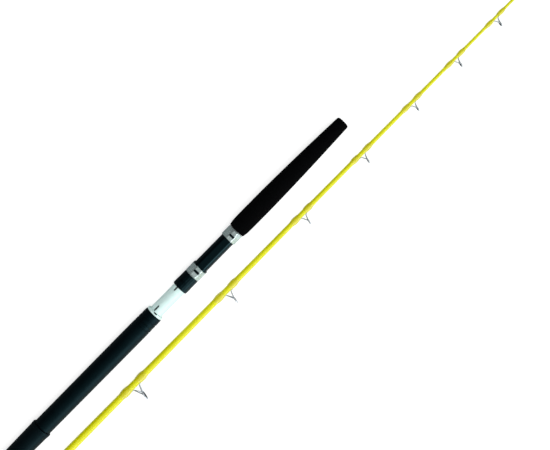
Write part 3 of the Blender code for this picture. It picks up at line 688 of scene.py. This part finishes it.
blank_length, rear_wall, front_wall = length_of("blank"), 2.0, 1.0
blank_front_r = blank_radius(blank_high.x)
blank = turned("blank_tube", [
    (0.0, blank_r - rear_wall, 0.2), (0.0, blank_r, 0.3), (blank_length, blank_front_r, 0.2),
    (blank_length, blank_front_r - front_wall, 0.2)], on_blank("blank"), yellow, count=64)
blank.visible_glossy = False
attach(blank, "tip_section")
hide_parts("blank")

spigot_length, spigot_r = length_of("ferrule_spigot"), 5.5
shoulder = (blank_low.x - spigot_low.x) / MM
stop_r, plug_r = blank_r - 0.1, blank_r - 2.5
spigot = turned("ferrule_spigot_turned", [
    (0.0, 0.0, 0.0), (0.0, spigot_r, 1.2), (shoulder - 2.6, spigot_r, 0.3), (shoulder - 2.0, stop_r, 0.3),
    (shoulder - 0.3, stop_r, 0.3), (shoulder - 0.3, plug_r, 0.0), (spigot_length, plug_r, 0.0),
    (spigot_length, 0.0, 0.0)], on_blank("ferrule_spigot"), satin, count=64)
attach(spigot, "tip_section")
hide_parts("ferrule_spigot")


# ------------------------------------------------------------------ thread wraps
# Each guide foot, the tip-top and the blank's thick end are bound with yellow thread and flooded with
# clear epoxy, which levels into a smooth glossy swelling that feathers out on the blank.

def wrap(name, node, build, rear_edge, front_edge):
    """A swelling round the blank as long as its CAD node, feathered at both ends."""
    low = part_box(node)[0]
    length, rows = length_of(node), 32
    feather = 0.42 * length
    rings = []
    for k in range(rows + 1):
        x = length * k / rows
        rear_rise, front_rise = ease(x / feather), ease((length - x) / feather)
        lift = min(rear_edge + (build - rear_edge) * rear_rise,
                   front_edge + (build - front_edge) * front_rise)
        rings.append(circle(x, blank_radius(low.x + x * MM) + lift, 64))
    inside = [circle(x, blank_radius(low.x + x * MM) + 0.05, 64) for x in (length, 0.0)]
    bm = bmesh.new()
    skin(bm, [*rings, *inside], closed=True)
    piece = made_piece(name, bm, on_blank(node), wrapping)
    piece.visible_glossy = False
    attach(piece, "tip_section")
    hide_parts(node)


# Thread in epoxy: the fine ridges of thread show softly under a hard, wet-looking clear coat, with painted
# shade darkening the grooves between them. Real thread lies 0.2 mm apart; it is drawn at 0.5 mm so that it
# shows.
wrapping, tree, mm = new_material("yellow_thread_in_epoxy")
thread_spacing = 0.5
axes = add(tree, "ShaderNodeSeparateXYZ", {}, {"Vector": mm})
phase = add(tree, "ShaderNodeMath", {"operation": "MULTIPLY", 1: 2 * pi / thread_spacing},
            {0: axes.outputs["X"]})
ridge = add(tree, "ShaderNodeMath", {"operation": "SINE"}, {0: phase.outputs["Value"]})
height = add(tree, "ShaderNodeMapRange", {"From Min": -1.0}, {"Value": ridge.outputs["Value"]})
# Painted shade: the grooves between the threads are coloured darker than their crowns.
shade = add(tree, "ShaderNodeMix", {"data_type": "RGBA", 6: linear("#C2BA00"), 7: linear("#D8D404")},
            {0: height.outputs["Result"]})
bump = add(tree, "ShaderNodeBump", {"Strength": 0.3, "Distance": 0.04 * MM},
           {"Height": height.outputs["Result"]})
add(tree, "Principled BSDF", {"Roughness": 0.4, "IOR": 1.54, "Coat Weight": 1.0, "Coat Roughness": 0.03},
    {"Base Color": shade.outputs[2], "Normal": bump.outputs["Normal"]})

ring_diameters = (20.0, 16.0, 13.0, 11.0, 10.0, 9.0, 9.0, 9.0)
thin_edge, edge_over_foot = 0.2, 0.6
wrap("ferrule_wrap_bound", "ferrule_wrap", 1.05, thin_edge, thin_edge)
wrap("tip_top_wrap_bound", "tip_top_wrap", 0.9, thin_edge, thin_edge)
for number, diameter in zip(range(1, 9), ring_diameters):
    build = 0.95 + 0.0225 * diameter
    wrap(f"guide_{number}_rear_wrap_bound", f"guide_{number}_rear_wrap", build, thin_edge, edge_over_foot)
    wrap(f"guide_{number}_front_wrap_bound", f"guide_{number}_front_wrap", build, edge_over_foot, thin_edge)


# ------------------------------------------------------------------ line guides
# Each guide is bent and brazed from polished stainless wire: a hoop on four legs that end in flattened
# feet under the wraps. A grey polished ceramic ring is pressed into the hoop to carry the line.

hoop_wires = (0.9, 0.8, 0.7, 0.65, 0.6, 0.55, 0.55, 0.55)
ring_lean = radians(10.0)


def smooth_path(points, steps=6):
    """Points along a curve that passes through the given ones."""
    points = [Vector(p) for p in points]
    ends = [2 * points[0] - points[1], *points, 2 * points[-1] - points[-2]]
    path = []
    for a, b, c, d in zip(ends, ends[1:], ends[2:], ends[3:]):
        for t in (k / steps for k in range(steps)):
            path.append(0.5 * (2 * b + (c - a) * t + (2 * a - 5 * b + 4 * c - d) * t ** 2
                               + (3 * b - a - 3 * c + d) * t ** 3))
    return path + [points[-1]]


def wire(bm, points, radius, sides=12):
    """A round wire along a curve, domed at both ends."""
    path = smooth_path(points)
    rings = []
    for i, point in enumerate(path):
        along = (path[min(i + 1, len(path) - 1)] - path[max(i - 1, 0)]).normalized()
        across = along.cross(Vector((0.0, 0.0, 1.0))).normalized()
        up = across.cross(along)
        rings.append([point + radius * (across * cos(a) + up * sin(a))
                      for a in (2 * pi * k / sides for k in range(sides))])
    tail, nose = (path[0] - path[1]).normalized(), (path[-1] - path[-2]).normalized()
    skin(bm, [[path[0] + tail * radius * 0.4], *rings, [path[-1] + nose * radius * 0.4]])


def bead(bm, centre, radius, sides=12):
    """A small round bead of brazing metal."""
    rings = [[centre + Vector((radius * cos(e), radius * sin(e) * cos(a), radius * sin(e) * sin(a)))
              for a in (2 * pi * k / sides for k in range(sides))]
             for e in (pi * k / 8 for k in range(1, 8))]
    skin(bm, [[centre + Vector((radius, 0.0, 0.0))], *rings, [centre - Vector((radius, 0.0, 0.0))]])


def hoop(bm, major, wire_r, turn, count=48, sides=12):
    """A wire ring about X, moved and leaned by turn."""
    rings = []
    for k in range(count):
        a = 2 * pi * k / count
        out = Vector((0.0, sin(a), cos(a)))
        ring = [out * (major + wire_r * cos(b)) + Vector((wire_r * sin(b), 0.0, 0.0))
                for b in (2 * pi * j / sides for j in range(sides))]
        rings.append([turn @ point for point in ring])
    skin(bm, rings, closed=True)


def foot(bm, toe, heel, low, high, half_width):
    """A foot hammered flat and ground thin towards its far end."""
    rings, count = [], 16
    for t in (0.0, 0.15, 0.6, 1.0):
        x = toe + (heel - toe) * t
        thick = (high - low) / 2 * (1.0 - 0.65 * t)
        wide = half_width * (0.75 + 0.25 * ease(t / 0.15)) * (1.0 - 0.3 * ease(t))
        rings.append([(x, -(low + thick) + thick * sin(a), wide * cos(a))
                      for a in (2 * pi * k / count for k in range(count))])
    ends = [[(x, -(low + (high - low) / 2 * share), 0.0)] for x, share in ((toe, 1.0), (heel, 0.35))]
    skin(bm, [ends[0], *rings, ends[1]])


# Stainless wire: bright, with drawing marks along it that blur the highlights a little.
stainless, tree, mm = new_material("polished_stainless_wire")
marks = add(tree, "ShaderNodeTexNoise", {"Scale": 1 / 0.6, "Detail": 4.0, "Roughness": 0.7}, {"Vector": mm})
gloss = add(tree, "ShaderNodeMapRange", {"To Min": 0.24, "To Max": 0.4}, {"Value": marks.outputs["Fac"]})
bump = add(tree, "ShaderNodeBump", {"Strength": 0.2, "Distance": 0.01 * MM}, {"Height": marks.outputs["Fac"]})
add(tree, "Principled BSDF", {"Base Color": linear("#DCE2EA"), "Metallic": 0.7},
    {"Roughness": gloss.outputs["Result"], "Normal": bump.outputs["Normal"]})

# Ring ceramic: dense, mid grey and glassy, mottled very slightly by its sintered grain.
ceramic, tree, mm = new_material("sintered_ring_ceramic")
sinter = add(tree, "ShaderNodeTexNoise", {"Scale": 1 / 0.4, "Detail": 3.0}, {"Vector": mm})
shade = add(tree, "ShaderNodeMix", {"data_type": "RGBA", 6: linear("#3A3D42"), 7: linear("#50545B")},
            {0: sinter.outputs["Fac"]})
add(tree, "Principled BSDF", {"Roughness": 0.15, "IOR": 1.76}, {"Base Color": shade.outputs[2]})


def ceramic_ring(name, node, diameter, wire_r, thick, half_width, lean):
    """A pressed-in ring with a rounded inner lip for the line to run over."""
    low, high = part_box(node)
    outer = diameter / 2 - 2 * wire_r - 0.15
    inner, lip_half = outer - thick, 0.55 * half_width
    ring = turned(name, [
        (-half_width, outer - 0.25, 0.2), (0.0, outer + 0.1, 0.3), (half_width, outer - 0.25, 0.2),
        (lip_half, inner, 0.45), (-lip_half, inner, 0.45)], (low + high) / 2, ceramic, count=64)
    ring.rotation_euler = (0.0, 0.0, -lean)
    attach(ring, "tip_section")
    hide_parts(node)


for number, diameter, wire_r in zip(range(1, 9), ring_diameters, hoop_wires):
    low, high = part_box(f"guide_{number}_ring")
    middle = (low + high) / 2
    radius, height = blank_radius(middle.x), (tip_y - middle.y) / MM
    reach, foot_length = 0.35 * diameter + 2.4, 8.0 + 0.3 * diameter
    foot_low, foot_high = radius + 0.15, radius + 0.4 + 0.0225 * diameter
    half_foot = 0.75 + 0.045 * diameter
    major, leg_r = diameter / 2 - wire_r, 1.2 * wire_r
    lean = Matrix.Rotation(-ring_lean, 4, "Z")
    bm = bmesh.new()
    hoop(bm, major, wire_r, Matrix.Translation((0.0, -height, 0.0)) @ lean)
    for side in (-1, 1):
        foot(bm, side * (reach - 2.2), side * (reach + foot_length), foot_low, foot_high, half_foot)
        grip_angle = radians(50.0 if side > 0 else 66.0)
        for lateral in (-1, 1):
            meets = lean @ Vector((0.0, major * cos(grip_angle), lateral * major * sin(grip_angle)))
            meets.y -= height
            root_z = lateral * (half_foot - leg_r - 0.1)
            wire(bm, [(side * (reach + 0.6), -(foot_high - 0.35), root_z),
                      (side * (reach - 1.2), -(foot_high - 0.1), root_z),
                      (side * (reach - 2.6), -(foot_high + 1.0), root_z), meets], leg_r)
            bead(bm, meets, 1.4 * wire_r)
    guide = made_piece(f"guide_{number}_wire_frame", bm, Vector((middle.x, tip_y, tip_z)), stainless)
    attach(guide, "tip_section")
    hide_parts(f"guide_{number}_frame")
    ceramic_ring(f"guide_{number}_ceramic", f"guide_{number}_ring", diameter, wire_r,
                 0.9 + 0.02 * diameter, 1.1, ring_lean)


# ------------------------------------------------------------------ tip-top
# A small cap tube of stainless steel, glued over the blank's tip, with a wire hoop brazed on two side
# wires and a stem. It holds the last ceramic ring.

top_low, top_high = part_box("tip_top_ring")
top_x, top_height = (top_low.x + top_high.x) / 2, 5.4
cap_tube_rear, cap_tube_front = -22.0, -4.0
tube_r = blank_radius(top_x + cap_tube_rear * MM) + 0.85
tube_bore = tube_r - 0.6
top_diameter, top_wire = 9.0, 0.55
top_major = top_diameter / 2 - top_wire
bm = bmesh.new()
skin(bm, [circle(x, r, 48) for x, r in rounded([
    (cap_tube_rear, tube_bore, 0.1), (cap_tube_rear, tube_r, 0.25), (cap_tube_front + 0.6, tube_r, 0.9),
    (cap_tube_front + 0.6, 0.0, 0.0), (cap_tube_front - 2.0, 0.0, 0.0),
    (cap_tube_front - 2.0, tube_bore, 0.0)])], closed=True)
hoop(bm, top_major, top_wire, Matrix.Translation((0.0, -top_height, 0.0)))
stem_r, side_wire_r, braze_r = 0.75, 0.5, 0.7
wire(bm, [(cap_tube_front - 0.6, -0.4, 0.0), (cap_tube_front + 1.6, -0.9, 0.0),
          (0.0, -(top_height - top_major), 0.0)], stem_r)
for lateral in (-1, 1):
    joint = Vector((0.0, -(top_height + 0.3 * top_major), lateral * 0.95 * top_major))
    wire(bm, [(cap_tube_rear + 3.0, -(tube_r - 0.15), lateral * 0.9),
              (cap_tube_rear + 6.0, -(tube_r + 0.8), lateral * 1.3), joint], side_wire_r)
    bead(bm, joint, braze_r)
tip_top = made_piece("tip_top_wire_frame", bm, Vector((top_x, tip_y, tip_z)), stainless)
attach(tip_top, "tip_section")
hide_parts("tip_top_frame")
ceramic_ring("tip_top_ceramic", "tip_top_ring", top_diameter, top_wire, 1.0, 1.0, 0.0)


# ------------------------------------------------------------------ floor, lights and camera
# A plain white table under a big soft light, with a second soft light low on the guides' side that
# draws the long highlights. The table's colour in reflections is painted darker, so that black pieces stay
# black.
# The camera leans a little from straight above, turned so the rod runs corner to corner.

# Paper: flat white and evenly lit to the eye. In reflections only, its colour is painted: pale on the
# guides' side of the handle and dark beyond it, a painted reflection that gives the metal its light and dark
# sides.
paper, tree, mm = new_material("white_paper")
ray = add(tree, "ShaderNodeLightPath", {})
axes = add(tree, "ShaderNodeSeparateXYZ", {}, {"Vector": mm})
painted_reflection_edge, painted_reflection_blend = handle_y / MM, 10.0
beyond = add(tree, "ShaderNodeMapRange",
             {"From Min": painted_reflection_edge - painted_reflection_blend, "From Max": painted_reflection_edge + painted_reflection_blend},
             {"Value": axes.outputs["Y"]})
# Painted reflection: the paper's colour for glossy rays, pale on the guides' side and dark beyond.
painted_reflection = add(tree, "ShaderNodeMix", {"data_type": "RGBA", 6: linear("#CDD2D5"), 7: linear("#5C6264")},
           {0: beyond.outputs["Result"]})
shade = add(tree, "ShaderNodeMix", {"data_type": "RGBA", 6: linear("#C4C4C4")},
            {0: ray.outputs["Is Glossy Ray"], 7: painted_reflection.outputs[2]})
glow = add(tree, "ShaderNodeMapRange", {"To Min": 0.62, "To Max": 0.03},
           {"Value": ray.outputs["Is Glossy Ray"]})
add(tree, "Principled BSDF",
    {"Roughness": 0.95, "Specular IOR Level": 0.0, "Emission Color": linear("#FFFFFF")},
    {"Base Color": shade.outputs[2], "Emission Strength": glow.outputs["Result"]})

floor_mesh = bpy.data.meshes.new("floor")
half_floor, floor_drop = 6.0, 0.0005        # metres
floor_mesh.from_pydata([(-half_floor, -half_floor, 0), (half_floor, -half_floor, 0),
                        (half_floor, half_floor, 0), (-half_floor, half_floor, 0)], [], [(0, 1, 2, 3)])
floor_mesh.materials.append(paper)
floor = bpy.data.objects.new("floor", floor_mesh)
floor.location.z = -floor_drop
bpy.context.scene.collection.objects.link(floor)

centre = (cad_low + cad_high) / 2
aimed_at = Vector((centre.x, centre.y, 0.0))


def soft_light(name, place, width, depth, power):
    """A large rectangular lamp aimed at the middle of the rod, sized in metres and lit in watts."""
    data = bpy.data.lights.new(name, "AREA")
    data.shape, data.size, data.size_y, data.energy = "RECTANGLE", width, depth, power
    lamp = bpy.data.objects.new(name, data)
    lamp.location = place
    lamp.rotation_euler = (aimed_at - Vector(place)).to_track_quat("-Z", "Y").to_euler()
    lamp.visible_camera = False
    bpy.context.scene.collection.objects.link(lamp)
    return lamp


overhead = soft_light("overhead", (0.0, 0.1, 2.6), 3.5, 2.5, 64.0)
overhead.visible_glossy = False
soft_light("side", (0.1, -2.0, 1.12), 3.5, 1.2, 34.0)

# The room is dim on the handle's side and bright on the guides' side, as the reflections show.
world = bpy.data.worlds.new("studio")
world.use_nodes = True
tree = world.node_tree
sky = add(tree, "ShaderNodeTexCoord", {})
sideways = add(tree, "ShaderNodeVectorMath", {"operation": "DOT_PRODUCT", 1: (-0.3, -0.95, 0.0)},
               {0: sky.outputs["Generated"]})
brightness = add(tree, "ShaderNodeMapRange",
                 {"From Min": -0.55, "From Max": 0.55, "To Min": 0.05, "To Max": 0.5},
                 {"Value": sideways.outputs["Value"]})
add(tree, "Background", {"Color": linear("#F2F8F8")}, {"Strength": brightness.outputs["Result"]})
bpy.context.scene.world = world
bpy.context.scene.view_settings.view_transform = "Standard"

# The camera looks at the middle of the reel seat and leans out towards the handle's side.
camera_data = bpy.data.cameras.new("camera")
camera_data.sensor_width, camera_data.lens = 36.0, 67.7
camera = bpy.data.objects.new("camera", camera_data)
camera_distance, camera_turn, camera_lean = 1.5, radians(-45.42), radians(6.5)
looked_at = Vector((0.1663, handle_y - 0.0346, handle_z))
leaned = Matrix.Rotation(-camera_lean, 3, "X")
camera.location = looked_at + leaned @ Vector((0.0, 0.0, camera_distance))
camera.rotation_euler = (leaned @ Matrix.Rotation(camera_turn, 3, "Z")).to_euler()
bpy.context.scene.collection.objects.link(camera)
bpy.context.scene.camera = camera
